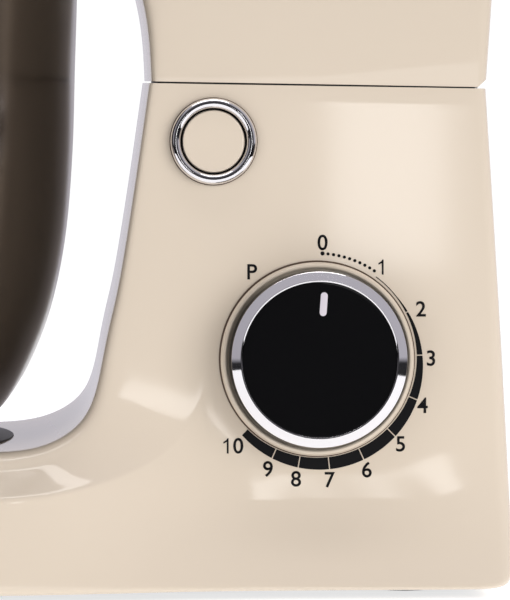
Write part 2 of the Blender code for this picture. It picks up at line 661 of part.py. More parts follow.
def make_head_frame():
    """The chassis that carries the motor and the gears, and the ring gear under it."""
    outline = rounded_box(-132.0, 168.0, -48.0, 48.0, 8.0)
    holes = [circle(6.5, 16, (BOWL_X, 0)), circle(4.4, 16, (LAYSHAFT_X, 0)),
             circle(4.4, 16, (MOTOR_X, 0))]
    chassis = as_mesh(flat("head_chassis", [outline] + holes, CHASSIS_T, place(0, 0, CHASSIS_Z)))
    for x in (-124.0, 4.0):
        for y in (-40.0, 40.0):
            join(chassis, rod("pillar", 4.0, HEAD_UNDER + 2.9, CHASSIS_Z + 0.5, place(x, y, 0), 10))
    for x, y in circle(33.5, 4, (MOTOR_X, 0.0)):
        join(chassis, rod("post", 2.4, 250.4, CHASSIS_Z + 0.5, place(x, y, 0), 8))
    finish(chassis, "head", GREY, 0.5, 1.0)

    axis = place(BOWL_X, 0, 0)
    teeth = gear(RING_TEETH, PLANET_MODULE, math.pi / RING_TEETH, inside=True)
    ring = flat("ring_gear", [circle(46.6, 40), teeth], 7.5, axis @ place(0, 0, 252.0))
    finish(ring, "head", GREY, 0.5)
    collar = ((47.1, 259.5), (51.6, 259.5), (51.6, 240.0), (50.0, 236.5), (47.1, 236.5))
    finish(turned("hub_collar", collar, axis, 32, closed=True), "head", STEEL, 0.15, 1.0)

    motor = place(MOTOR_X, 0, 0)
    stator = ((23.2, 250.0), (36.0, 250.0), (36.0, 214.0), (23.2, 214.0))
    finish(turned("motor_stator", stator, motor, 28, closed=True), "head", COPPER, 0.5, 0.6)
    frame = as_mesh(flat("motor_end_frame", [circle(36.0, 28), circle(4.4, 16)], 4.0,
                         motor @ place(0, 0, 196.0)))
    for x, y in circle(33.0, 4, (MOTOR_X, 0.0)):
        join(frame, rod("end_post", 2.4, 199.5, 213.6, place(x, y, 0), 8))
    finish(frame, "head", GREY, 0.5, 1.0)
    for name, side in (("brush_left", -1), ("brush_right", 1)):
        low, high = sorted((side * 10.5, side * 24.0))
        finish(box(name, (MOTOR_X - 3, low, 203.5), (MOTOR_X + 3, high, 209.5)), "head", DARK, 0.6)

    distance = MOTOR_X - LAYSHAFT_X
    outer = belt_outline(BIG_PULLEY_R + 1.9, SMALL_PULLEY_R + 1.9, distance)
    inner = belt_outline(BIG_PULLEY_R + 0.3, SMALL_PULLEY_R + 0.3, distance)
    belt = flat("drive_belt", [outer, inner], PULLEY_H - 4.0, place(LAYSHAFT_X, 0, PULLEY_Z + 2.0))
    finish(belt, "head", DARK, 0.8)


def pulley(name, radius, bore, flange, frame, steps):
    top, bottom = PULLEY_Z + PULLEY_H, PULLEY_Z
    profile = ((bore, top), (radius + flange, top), (radius, top - 1.4), (radius, bottom + 1.4),
               (radius + flange, bottom), (bore, bottom))
    return turned(name, profile, frame, steps, closed=True)


def make_drive():
    motor = place(MOTOR_X, 0, 0)
    body_empty("rotor", motor)
    body_empty("layshaft", place(LAYSHAFT_X, 0, 0))
    body_empty("carrier", place(BOWL_X, 0, 0))
    bpy.context.view_layer.update()
    finish(rod("motor_shaft", 3.9, 192.6, PULLEY_Z + PULLEY_H + 2, motor, 16), "rotor", STEEL, 0.2, 1.0)
    stack = ((4.2, 250.0), (22.2, 250.0), (22.2, 214.0), (4.2, 214.0))
    finish(turned("motor_rotor", stack, motor, 24, closed=True), "rotor", GREY, 0.5, 1.0)
    bars = ((4.2, 210.0), (9.8, 210.0), (9.8, 202.5), (4.2, 202.5))
    finish(turned("commutator", bars, motor, 16, closed=True), "rotor", COPPER, 0.3, 1.0)
    blades = []
    for i in range(9):
        turn = i * 40.0
        blades += arc(10.0, turn - 12, turn + 2, 3) + arc(27.0, turn + 10, turn + 20, 3)
    fan = flat("cooling_fan", [blades, circle(4.2, 16)], 6.0, motor @ place(0, 0, 253.0))
    finish(fan, "rotor", DARK, 0.5)
    finish(pulley("motor_pulley", SMALL_PULLEY_R, 4.2, 2.6, motor, 14), "rotor", STEEL, 0.3, 1.0)

    lay = place(LAYSHAFT_X, 0, 0)
    finish(rod("layshaft", 3.9, CHASSIS_Z - 1.5, PULLEY_Z + PULLEY_H + 2, lay, 16),
           "layshaft", STEEL, 0.2, 1.0)
    pinion = flat("pinion", [gear(PINION_TEETH, GEAR_MODULE), circle(4.2, 16)], 8.0,
                  lay @ place(0, 0, 267.0))
    finish(pinion, "layshaft", STEEL, 0.3, 1.0)
    finish(pulley("belt_pulley", BIG_PULLEY_R, 4.2, 2.6, lay, 28), "layshaft", GREY, 0.5)

    axis = place(BOWL_X, 0, 0)
    teeth = gear(MAIN_TEETH, GEAR_MODULE, math.pi / MAIN_TEETH)
    finish(flat("main_gear", [teeth, circle(6.3, 20)], 7.0, axis @ place(0, 0, 267.5)),
           "carrier", BRASS, 0.35, 1.0)
    finish(rod("main_shaft", 6.0, 251.2, 277.0, axis, 20), "carrier", STEEL, 0.2, 1.0)
    disc = flat("planet_carrier", [circle(46.4, 40), circle(6.3, 20, (PLANET_OFFSET, 0))], 13.0,
                axis @ place(0, 0, 237.5))
    finish(disc, "carrier", GREY, 0.35, 1.0)


def make_tool():
    """Planet gear, tool shaft and flat beater, turning about the planet axis."""
    axis = place(BOWL_X + PLANET_OFFSET, 0, 0)
    body_empty("planet", axis)
    bpy.context.view_layer.update()
    finish(flat("planet_gear", [gear(PLANET_TEETH, PLANET_MODULE), circle(6.3, 20)], 7.0,
                axis @ place(0, 0, 252.0)), "planet", STEEL, 0.3, 1.0)
    finish(rod("tool_shaft", 6.0, 194.0, 260.0, axis, 20), "planet", STEEL, 0.2, 1.0)

    half = [(7, 203), (7, 194), (32, 186), (53, 171), (62, 147), (61.5, 115), (56, 86), (44, 68),
            (26, 61), (0, 59.5)]
    outline = half + [(-x, z) for x, z in reversed(half[:-1])]
    windows = []
    for side in (1, -1):
        upper = [(5, 180), (29, 176.5), (46, 164), (53, 145), (53, 121), (5, 121)]
        lower = [(5, 111.5), (52, 111), (48, 91), (38, 76), (24, 70), (5, 68.5)]
        windows += [[(side * x, z) for x, z in upper], [(side * x, z) for x, z in lower]]
    beater = as_mesh(flat("flat_beater", [outline] + windows, 8.0,
                          across(BOWL_X + PLANET_OFFSET, 0, 4.0)))
    join(beater, rod("beater_hub", 9.5, 188, 212, axis, 16))
    cut(beater, rod("beater_bore", 6.3, 193.7, 220, axis, 16))
    finish(beater, "planet", (0.62, 0.62, 0.63), 0.35, 1.0)


clear_scene()
make_base()
make_dial()
make_button()
make_bowl()
make_head_shells()
make_head_frame()
make_drive()
make_tool()
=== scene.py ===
"""Looks of the tilt-head stand mixer: smooth housings, dial, button, bowl and finishes."""

import json
import math

import bmesh
import bpy
from mathutils import Matrix, Vector


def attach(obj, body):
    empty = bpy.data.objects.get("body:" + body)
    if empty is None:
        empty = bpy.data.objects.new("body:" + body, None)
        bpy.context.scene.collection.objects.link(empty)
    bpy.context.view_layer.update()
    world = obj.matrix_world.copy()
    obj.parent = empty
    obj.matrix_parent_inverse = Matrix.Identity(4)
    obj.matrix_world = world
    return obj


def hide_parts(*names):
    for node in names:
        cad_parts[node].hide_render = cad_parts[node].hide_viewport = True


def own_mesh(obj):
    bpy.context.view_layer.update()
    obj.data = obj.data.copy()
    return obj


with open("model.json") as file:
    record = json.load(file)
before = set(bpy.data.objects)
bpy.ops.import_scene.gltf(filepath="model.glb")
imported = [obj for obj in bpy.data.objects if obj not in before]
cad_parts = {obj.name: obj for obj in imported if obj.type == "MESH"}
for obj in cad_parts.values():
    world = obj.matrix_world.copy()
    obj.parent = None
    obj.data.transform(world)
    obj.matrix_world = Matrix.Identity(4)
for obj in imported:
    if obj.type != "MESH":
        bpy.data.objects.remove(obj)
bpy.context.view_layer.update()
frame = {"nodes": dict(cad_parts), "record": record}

MM = 0.001

# The same driving sizes as the solids, in millimetres
BOWL_X = -77.0
BASE_RADIUS = 105.0
BASE_BOTTOM = 3.0
DECK_Z = 52.0
DECK_RADIUS = 96.0
CREASE_Z = 36.5
BASE_NECK = 91.0
COLUMN_HALF = 58.0
SIDE_DRAFT = 0.047
SEAM_Z = 184.0
SHELL = 2.2
HEAD_TOP = 355.0
HEAD_UNDER = 250.0
HEAD_HALF = 62.0
HEAD_SPLIT = 300.0
HUB_OPENING_R = 52.2
NOSE_X = -196.0
NOSE_ROUND = 50.0
NOSE_DROP = 10.0
HINGE_X, HINGE_Z = 183.6, 182.9
HINGE_HALF = 31.5
TILT_DEG = 40.0
DIAL_X, DIAL_Z = 125.35, 85.1
DIAL_TOP = 15.0
FACE_R = 27.8
RING_R = 31.5
COLLAR_R = 34.9
POINTER_DEG = 4.0
BUTTON_X, BUTTON_Z = 88.1, 163.4
BUTTON_R = 11.1
BEZEL_R = 15.6
RIM_Z = 240.0
SEAT_TOP = 53.1
SEAT_R = 92.4
SIDE_STAND_OFF = 0.3

# The camera stands this far from the column's side, a little above the dial
VIEW_POINT = Vector((33.0, -1558.0, 185.4)) * MM
VIEW_TARGET = Vector((103.1, -58.0, 106.2)) * MM
VIEW_LENS = 250.0


# ---------------------------------------------------------------- small helpers

def smooth(t):
    t = min(max(t, 0.0), 1.0)
    return t * t * (3.0 - 2.0 * t)


def mix(a, b, t):
    return a + (b - a) * t


def place(x, y, z):
    return Matrix.Translation(Vector((x, y, z)) * MM)


def side_frame(x, z):
    """Frame on the column's -Y side: local Z points straight out of the sloping side."""
    half = COLUMN_HALF + SIDE_DRAFT * (SEAM_Z - z)
    return place(x, -half - SIDE_STAND_OFF, z) @ Matrix.Rotation(
        math.radians(90) - math.atan(SIDE_DRAFT), 4, "X")


def deselect():
    if bpy.context.object and bpy.context.object.mode != "OBJECT":
        bpy.ops.object.mode_set(mode="OBJECT")
    bpy.ops.object.select_all(action="DESELECT")


def only(obj):
    """Selects one object and makes it active."""
    deselect()
    obj.select_set(True)
    bpy.context.view_layer.objects.active = obj


def in_edit_mode(obj, *steps):
    """Runs operators on the whole mesh in edit mode."""
    only(obj)
    bpy.ops.object.mode_set(mode="EDIT")
    bpy.ops.mesh.select_all(action="SELECT")
    for step in steps:
        step()
    bpy.ops.object.mode_set(mode="OBJECT")


def settle(obj, matrix=None):
    """Puts a piece in its place and leaves that place in its mesh."""
    only(obj)
    obj.matrix_world = (matrix or Matrix.Identity(4)) @ obj.matrix_world
    bpy.ops.object.transform_apply(location=True, rotation=True, scale=True)


def apply_all(obj):
    only(obj)
    for modifier in list(obj.modifiers):
        bpy.ops.object.modifier_apply(modifier=modifier.name)


def soften(obj, degrees=35.0):
    only(obj)
    bpy.ops.object.shade_smooth_by_angle(angle=math.radians(degrees))


def subdivide_smooth(obj, levels):
    modifier = obj.modifiers.new("round", "SUBSURF")
    modifier.levels = modifier.render_levels = levels


def round_edges(obj, width, segments=3, degrees=40.0):
    bevel = obj.modifiers.new("edges", "BEVEL")
    bevel.width = width * MM
    bevel.segments = segments
    bevel.limit_method = "ANGLE"
    bevel.angle_limit = math.radians(degrees)
    bevel.harden_normals = False


def subtract(obj, tool):
    boolean = obj.modifiers.new("cut", "BOOLEAN")
    boolean.operation = "DIFFERENCE"
    boolean.solver = "EXACT"
    boolean.object = tool
    apply_all(obj)
    bpy.data.objects.remove(tool, do_unlink=True)


def block(low, high, matrix=None):
    """A plain box, used only to cut with."""
    size = [high[i] - low[i] for i in range(3)]
    middle = [(high[i] + low[i]) / 2 for i in range(3)]
    deselect()
    bpy.ops.mesh.primitive_cube_add(size=1.0)
    tool = bpy.context.object
    tool.matrix_world = (matrix or Matrix.Identity(4)) @ place(*middle) @ Matrix.Diagonal(
        (*[s * MM for s in size], 1.0))
    only(tool)
    bpy.ops.object.transform_apply(location=True, rotation=True, scale=True)
    return tool


def rounded(points, segments=6):
    """A closed profile from (r, z, corner radius) points, with its corners turned into arcs."""
    out = []
    count = len(points)
    for i, (r, z, radius) in enumerate(points):
        here = Vector((r, z))
        before = Vector(points[i - 1][:2]) - here
        after = Vector(points[(i + 1) % count][:2]) - here
        if radius <= 0.0 or before.length == 0 or after.length == 0:
            out.append((r, z))
            continue
        angle = before.angle(after)
        reach = min(radius / math.tan(angle / 2), before.length * 0.49, after.length * 0.49)
        true_radius = reach * math.tan(angle / 2)
        centre = here + (before.normalized() + after.normalized()).normalized() * (
            true_radius / math.sin(angle / 2))
        start = here + before.normalized() * reach - centre
        end = here + after.normalized() * reach - centre
        turn = math.atan2(start.cross(end), start.dot(end))
        hold = reach + 0.3
        if before.length > 2.2 * hold:
            out.append(tuple(here + before.normalized() * hold))
        for k in range(segments + 1):
            a = turn * k / segments
            c, s = math.cos(a), math.sin(a)
            out.append((centre.x + start.x * c - start.y * s, centre.y + start.x * s + start.y * c))
        if after.length > 2.2 * hold:
            out.append(tuple(here + after.normalized() * hold))
    return out


def turned(name, profile, matrix, steps=96):
    """Spins a closed (radius, height) profile about local Z and puts it in its place."""
    deselect()
    bpy.ops.mesh.primitive_circle_add(vertices=len(profile), radius=MM)
    obj = bpy.context.object
    obj.name = name
    for vert, (r, z) in zip(obj.data.vertices, profile):
        vert.co = (max(r, 0.0) * MM, 0.0, z * MM)
    in_edit_mode(
        obj,
        lambda: bpy.ops.mesh.spin(steps=steps, angle=2 * math.pi, center=(0, 0, 0), axis=(0, 0, 1)),
        lambda: bpy.ops.mesh.select_all(action="SELECT"),
        lambda: bpy.ops.mesh.remove_doubles(threshold=0.000002),
        lambda: bpy.ops.mesh.dissolve_degenerate(threshold=0.000001),
        lambda: bpy.ops.mesh.select_all(action="SELECT"),
        lambda: bpy.ops.mesh.normals_make_consistent(inside=False))
    drop_wires(obj)
    settle(obj, matrix)
    soften(obj)
    return obj


def drop_wires(obj):
    """Removes edges that carry no face, such as a profile's edge along the axis."""
    bm = bmesh.new()
    bm.from_mesh(obj.data)
    wires = [e for e in bm.edges if not e.link_faces]
    bmesh.ops.delete(bm, geom=wires, context="EDGES")
    loose = [v for v in bm.verts if not v.link_faces]
    bmesh.ops.delete(bm, geom=loose, context="VERTS")
    bm.to_mesh(obj.data)
    bm.free()


# ---------------------------------------------------------------- finishes

def new_material(name, colour, roughness, metallic=0.0, coat=0.0):
    mat = bpy.data.materials.new(name)
    mat.use_nodes = True
    shader = mat.node_tree.nodes["Principled BSDF"]
    shader.inputs["Base Color"].default_value = (*colour, 1.0)
    shader.inputs["Roughness"].default_value = roughness
    shader.inputs["Metallic"].default_value = metallic
    shader.inputs["Coat Weight"].default_value = coat
    return mat


def socket(group, name, kind, direction, value=None):
    item = group.interface.new_socket(name=name, in_out=direction, socket_type=kind)
    if value is not None:
        item.default_value = value
    return item


def surface_group():
    """Colour drift, roughness drift and a fine height, all from noise on object coordinates."""
    group = bpy.data.node_groups.new("surface_variation", "ShaderNodeTree")
    socket(group, "Colour", "NodeSocketColor", "INPUT", (0.8, 0.8, 0.8, 1.0))
    socket(group, "Second", "NodeSocketColor", "INPUT", (0.8, 0.8, 0.8, 1.0))
    socket(group, "Drift Scale", "NodeSocketFloat", "INPUT", 12.0)
    socket(group, "Grain Scale", "NodeSocketFloat", "INPUT", 900.0)
    socket(group, "Roughness", "NodeSocketFloat", "INPUT", 0.3)
    socket(group, "Roughness Range", "NodeSocketFloat", "INPUT", 0.05)
    socket(group, "Stretch", "NodeSocketVector", "INPUT", (1.0, 1.0, 1.0))
    socket(group, "Colour", "NodeSocketColor", "OUTPUT")
    socket(group, "Roughness", "NodeSocketFloat", "OUTPUT")
    socket(group, "Height", "NodeSocketFloat", "OUTPUT")
    nodes, links = group.nodes, group.links
    inputs = nodes.new("NodeGroupInput")
    outputs = nodes.new("NodeGroupOutput")
    coords = nodes.new("ShaderNodeTexCoord")
    scaled = nodes.new("ShaderNodeVectorMath")
    scaled.operation = "MULTIPLY"
    links.new(coords.outputs["Object"], scaled.inputs[0])
    links.new(inputs.outputs["Stretch"], scaled.inputs[1])
    drift = nodes.new("ShaderNodeTexNoise")
    drift.inputs["Detail"].default_value = 3.0
    links.new(coords.outputs["Object"], drift.inputs["Vector"])
    links.new(inputs.outputs["Drift Scale"], drift.inputs["Scale"])
    grain = nodes.new("ShaderNodeTexNoise")
    grain.inputs["Detail"].default_value = 4.0
    links.new(scaled.outputs[0], grain.inputs["Vector"])
    links.new(inputs.outputs["Grain Scale"], grain.inputs["Scale"])
    blend = nodes.new("ShaderNodeMix")
    blend.data_type = "RGBA"
    links.new(drift.outputs["Fac"], blend.inputs["Factor"])
    links.new(inputs.outputs["Colour"], blend.inputs["A"])
    links.new(inputs.outputs["Second"], blend.inputs["B"])
    both = nodes.new("ShaderNodeMath")
    both.operation = "ADD"
    links.new(drift.outputs["Fac"], both.inputs[0])
    links.new(grain.outputs["Fac"], both.inputs[1])
    centred = nodes.new("ShaderNodeMath")
    centred.operation = "SUBTRACT"
    links.new(both.outputs[0], centred.inputs[0])
    centred.inputs[1].default_value = 1.0
    spread = nodes.new("ShaderNodeMath")
    spread.operation = "MULTIPLY_ADD"
    links.new(centred.outputs[0], spread.inputs[0])
    links.new(inputs.outputs["Roughness Range"], spread.inputs[1])
    links.new(inputs.outputs["Roughness"], spread.inputs[2])
    links.new(blend.outputs["Result"], outputs.inputs["Colour"])
    links.new(spread.outputs[0], outputs.inputs["Roughness"])
    links.new(grain.outputs["Fac"], outputs.inputs["Height"])
    return group


SURFACE = surface_group()


def finish_material(name, colour, second, roughness, spread=0.05, metallic=0.0, coat=0.0,
                    drift=12.0, grain=900.0, bump=0.02, depth=0.05, stretch=(1, 1, 1)):
    """A finish whose colour and gloss drift slightly, with a fine bump in millimetres of depth."""
    mat = new_material(name, colour, roughness, metallic, coat)
    nodes, links = mat.node_tree.nodes, mat.node_tree.links
    shader = nodes["Principled BSDF"]
    group = nodes.new("ShaderNodeGroup")
    group.node_tree = SURFACE
    group.inputs["Colour"].default_value = (*colour, 1.0)
    group.inputs["Second"].default_value = (*second, 1.0)
    group.inputs["Drift Scale"].default_value = drift
    group.inputs["Grain Scale"].default_value = grain
    group.inputs["Roughness"].default_value = roughness
    group.inputs["Roughness Range"].default_value = spread
    group.inputs["Stretch"].default_value = stretch
    links.new(group.outputs["Colour"], shader.inputs["Base Color"])
    links.new(group.outputs["Roughness"], shader.inputs["Roughness"])
    bumps = nodes.new("ShaderNodeBump")
    bumps.inputs["Strength"].default_value = bump
    bumps.inputs["Distance"].default_value = depth * MM
    links.new(group.outputs["Height"], bumps.inputs["Height"])
    links.new(bumps.outputs["Normal"], shader.inputs["Normal"])
    return mat


CREAM = (0.722, 0.632, 0.520)
CREAM_DEEP = (0.712, 0.620, 0.506)
FINISHES = {
    "cream": finish_material("cream_gloss_enamel", CREAM, CREAM_DEEP, 0.07, 0.02,
                             drift=9.0, grain=260.0, bump=0.01, depth=0.02),
    "dark_plastic": finish_material("dark_textured_plastic", (0.030, 0.030, 0.033),
                                    (0.042, 0.042, 0.046), 0.5, 0.1, grain=1500.0, bump=0.35),
    "rubber": finish_material("black_rubber", (0.022, 0.022, 0.022), (0.034, 0.033, 0.032),
                              0.75, 0.1, grain=1100.0, bump=0.3),
    "steel": finish_material("turned_steel", (0.50, 0.50, 0.51), (0.58, 0.58, 0.59), 0.3, 0.1, 1.0,
                             grain=700.0, bump=0.05, stretch=(1, 1, 8)),
    "chrome": finish_material("bright_chrome", (0.78, 0.77, 0.79), (0.82, 0.81, 0.83), 0.06, 0.02,
                              1.0, grain=500.0, bump=0.005),
    "black_gloss": finish_material("black_gloss_lens", (0.0035, 0.0035, 0.004),
                                   (0.005, 0.005, 0.0055), 0.03, 0.01, grain=300.0, bump=0.003),
    "pale_plastic": finish_material("pale_marker", (0.62, 0.58, 0.64), (0.66, 0.62, 0.67), 0.3),
    "dark_steel": finish_material("smoked_steel", (0.17, 0.147, 0.132), (0.20, 0.175, 0.158),
                                  0.20, 0.06, 1.0, drift=6.0, grain=220.0, bump=0.04,
                                  stretch=(1, 1, 12)),
    "cast_aluminium": finish_material("cast_aluminium", (0.50, 0.50, 0.51), (0.57, 0.57, 0.58),
                                      0.42, 0.12, 1.0, grain=600.0, bump=0.25),
    "brass": finish_material("machined_brass", (0.62, 0.43, 0.17), (0.68, 0.49, 0.21), 0.32, 0.1,
                             1.0, grain=500.0, bump=0.08),
    "copper": finish_material("wound_copper", (0.55, 0.24, 0.12), (0.62, 0.30, 0.16), 0.4, 0.15,
                              1.0, grain=400.0, bump=0.3, stretch=(1, 1, 14)),
    "board_green": finish_material("board_green", (0.015, 0.11, 0.045), (0.02, 0.15, 0.06), 0.4,
                                   grain=700.0, bump=0.1),
    "amber_film": finish_material("amber_film", (0.45, 0.30, 0.06), (0.5, 0.35, 0.08), 0.25),
    "belt_rubber": finish_material("belt_rubber", (0.02, 0.02, 0.02), (0.03, 0.03, 0.03), 0.8, 0.1,
                                   grain=900.0, bump=0.3),
    # Dark brown painted shade: thin rings laid round the dial collar and the button bezel stand in
    # for the shade there
    "painted_shade": finish_material("painted_shade_brown", (0.085, 0.055, 0.040),
                                  (0.11, 0.075, 0.055), 0.6),
    "print": finish_material("black_print", (0.005, 0.005, 0.006), (0.007, 0.007, 0.008), 0.6),
}
for quiet, level in (("print", 0.15), ("black_gloss", 0.12), ("painted_shade", 0.2)):
    gloss = FINISHES[quiet].node_tree.nodes["Principled BSDF"]
    gloss.inputs["Specular IOR Level"].default_value = level


def dress(obj, body, slot, finish=None, replaces=()):
    """Gives a new piece its finish, the slot's own unless another is named, ties it to its body and
    hides the CAD nodes it replaces.
    """
    obj.data.materials.clear()
    obj.data.materials.append(FINISHES[finish or slot])
    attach(obj, body)
    if replaces:
        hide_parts(*replaces)


def dress_cad_nodes():
    """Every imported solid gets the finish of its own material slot."""
    for entry in frame["record"]["subparts"]:
        node = frame["nodes"][entry["node"]]
        mat = FINISHES[entry["material_slot"]]
        if not node.material_slots:
            node.data.materials.append(mat)
        for held in node.material_slots:
            held.material = mat


# ---------------------------------------------------------------- the two bent shells

def skirt_radius(z):
    return BASE_RADIUS - 0.06 * (z - BASE_BOTTOM)


def base_half_width(x, z):
    """Half width of the outer side surface of the base and the column."""
    radius = skirt_radius(z)
    around = math.sqrt(max(radius ** 2 - (x - BOWL_X) ** 2, 0.0))
    fade = smooth((x + 160.0) / 60.0)
    straight = fade * (BASE_NECK - 0.09 * (z - BASE_BOTTOM))
    front = (around + straight + math.hypot(around - straight, 4.0 * fade)) / 2
    flare = 13.5 * max(0.0, (38.0 - z) / 35.0) ** 1.5
    column = COLUMN_HALF + SIDE_DRAFT * (SEAM_Z - z) + flare
    return mix(front, column, smooth((x - 20.0) / 70.0))


def bent_section(outer, middle, inner, half_at, inner_half, round_out, round_in, bulge, crease):
    """Half of a closed section between the outer and the inner line of a bent shell."""
    outer, middle, inner = Vector(outer), Vector(middle), Vector(inner)
    out_dir = (middle - outer).normalized()
    in_dir = (middle - inner).normalized()

    def side(point):
        return half_at(point.x, point.y)

    r_out = min(round_out, 0.45 * side(outer))
    r_in = min(round_in, 0.45 * inner_half)
    low = outer + out_dir * r_out
    high = inner + in_dir * r_in
    rows = [(outer, 0.0), (outer, 0.5 * side(outer)), (outer, side(outer) - 1.7 * r_out),
            (outer, side(outer) - r_out),
            (outer + out_dir * 0.29 * r_out, side(outer) - 0.29 * r_out), (low, side(low)),
            (low + out_dir * 0.7 * r_out, side(low + out_dir * 0.7 * r_out))]
    start = rows[-1][0]
    for part in (0.14, 0.3, 0.48, 0.7):
        point = start.lerp(middle, part)
        rows.append((point, side(point)))
    before = middle + (start - middle).normalized() * crease
    after = middle + (high - middle).normalized() * crease
    rows += [(before, side(before)), (middle, side(middle))]
    reach = (high - middle).length

    def shoulder(point):
        part = (point - middle).length / max(reach, 1e-6)
        return mix(side(middle), inner_half, part)

    for point in (after, middle.lerp(high, 0.45), middle.lerp(high, 0.82)):
        rows.append((point, shoulder(point)))
    rows += [(high, inner_half), (inner + in_dir * 0.29 * r_in, inner_half - 0.29 * r_in),
             (inner, inner_half - r_in), (inner - in_dir * 0.3 * bulge, inner_half - 1.8 * r_in),
             (inner - in_dir * 0.9 * bulge, 0.5 * inner_half), (inner - in_dir * bulge, 0.0)]
    return [(point.x, half, point.y) for point, half in rows]


def bent_surface(name, sections):
    """A grid shaped to the sections, for one half of the shell."""
    rows, columns = len(sections[0]), len(sections)
    deselect()
    bpy.ops.mesh.primitive_grid_add(x_subdivisions=rows - 1, y_subdivisions=columns - 1, size=1.0)
    obj = bpy.context.object
    obj.name = name
    for i, vert in enumerate(obj.data.vertices):
        vert.co = Vector(sections[i // rows][i % rows]) * MM
    return obj


def trim_faces(obj, unwanted):
    """Deletes the faces whose centre passes the test."""
    bm = bmesh.new()
    bm.from_mesh(obj.data)
    faces = [f for f in bm.faces if unwanted(f.calc_center_median() / MM)]
    bmesh.ops.delete(bm, geom=faces, context="FACES")
    bm.to_mesh(obj.data)
    bm.free()


def mirror_and_round(obj, levels=2):
    in_edit_mode(obj, lambda: bpy.ops.mesh.remove_doubles(threshold=0.00002))
    mirror = obj.modifiers.new("far_half", "MIRROR")
    mirror.use_axis = (False, True, False)
    mirror.merge_threshold = 0.0001
    subdivide_smooth(obj, levels)
    apply_all(obj)


def point_outwards(obj):
    """Turns an open shell's faces outwards, judged by its rearmost face."""
    in_edit_mode(obj, lambda: bpy.ops.mesh.normals_make_consistent(inside=False))
    rearmost = max(obj.data.polygons, key=lambda face: face.center.x)
    if rearmost.normal.x < 0.0:
        in_edit_mode(obj, lambda: bpy.ops.mesh.flip_normals())


def give_wall(obj, thickness=SHELL, edge=0.7):
    wall = obj.modifiers.new("wall", "SOLIDIFY")
    wall.thickness = thickness * MM
    wall.offset = -1.0
    wall.use_even_offset = False
    apply_all(obj)
    round_edges(obj, edge, 3, 60.0)
    apply_all(obj)


def base_sections():
    sections = []
    for degrees in (0, 8, 18, 30, 45, 60, 75, 90):
        turn = math.radians(degrees)
        c, s = math.cos(turn), math.sin(turn)
        foot_r, crease_r = skirt_radius(BASE_BOTTOM), skirt_radius(CREASE_Z)
        sections.append(bent_section(
            (BOWL_X - foot_r * c, BASE_BOTTOM), (BOWL_X - crease_r * c, CREASE_Z),
            (BOWL_X - DECK_RADIUS * c, DECK_Z),
            lambda x, z, s=s: skirt_radius(z) * s, DECK_RADIUS * s, 3.0, 6.0, 0.0, 2.0))
    bends = (
        # outer x, z    middle x, z    inner x, z    inner half, rounds, bulge, crease width
        ((-35, 3), (-35, 36.5), (-37, 52), 86.5, 3.0, 6.0, 0.0, 2.0),
        ((0, 3), (-2, 36.7), (-5, 52), 76.8, 3.0, 6.0, 0.0, 2.0),
        ((40, 3), (20, 37.5), (16, 52.2), 75.5, 3.0, 6.0, 0.0, 2.0),
        ((80, 3), (38, 39.5), (28, 54.6), 74.5, 3.0, 5.5, 0.0, 2.0),
        ((120, 3), (55, 44), (37, 59.4), 71.0, 3.0, 5.0, 0.0, 2.0),
        ((158, 3), (68, 49.5), (42.6, 65.4), 67.5, 3.0, 4.5, 0.2, 2.0),
        ((186, 3), (76, 56), (45.6, 73), 65.5, 3.0, 4.0, 0.4, 2.0),
        ((195.0, 3.8), (81, 64), (47.4, 81), 64.3, 3.6, 3.6, 0.8, 2.2),
        ((196.1, 14), (84, 72), (49.2, 90), 63.2, 5.0, 3.4, 1.2, 2.6),
        ((195.4, 36), (86.8, 84), (51.2, 99), 62.1, 5.0, 3.0, 1.3, 3.5),
        ((194.0, 62), (89, 97), (54, 110), 61.3, 4.0, 2.6, 1.3, 5.0),
        ((191.4, 106), (91, 122), (57.4, 130), 60.5, 3.0, 2.2, 1.3, 8.0),
        ((189.0, 146), (92, 152), (61.4, 156), 59.3, 2.8, 2.0, 1.3, 8.0),
        ((186.7, 182.4), (92, 183.9), (65.4, 184.4), 58.0, 2.6, 2.0, 1.3, 8.0),
    )
    for outer, middle, inner, half, r_out, r_in, bulge, crease in bends:
        sections.append(bent_section(outer, middle, inner, base_half_width, half,
                                     r_out, r_in, bulge, crease))
    return sections


def head_half_width(x, z):
    neck = COLUMN_HALF - 0.3 + 0.03 * (z - SEAM_Z)
    return mix(neck, HEAD_HALF, smooth((z - 205.0) / 60.0))


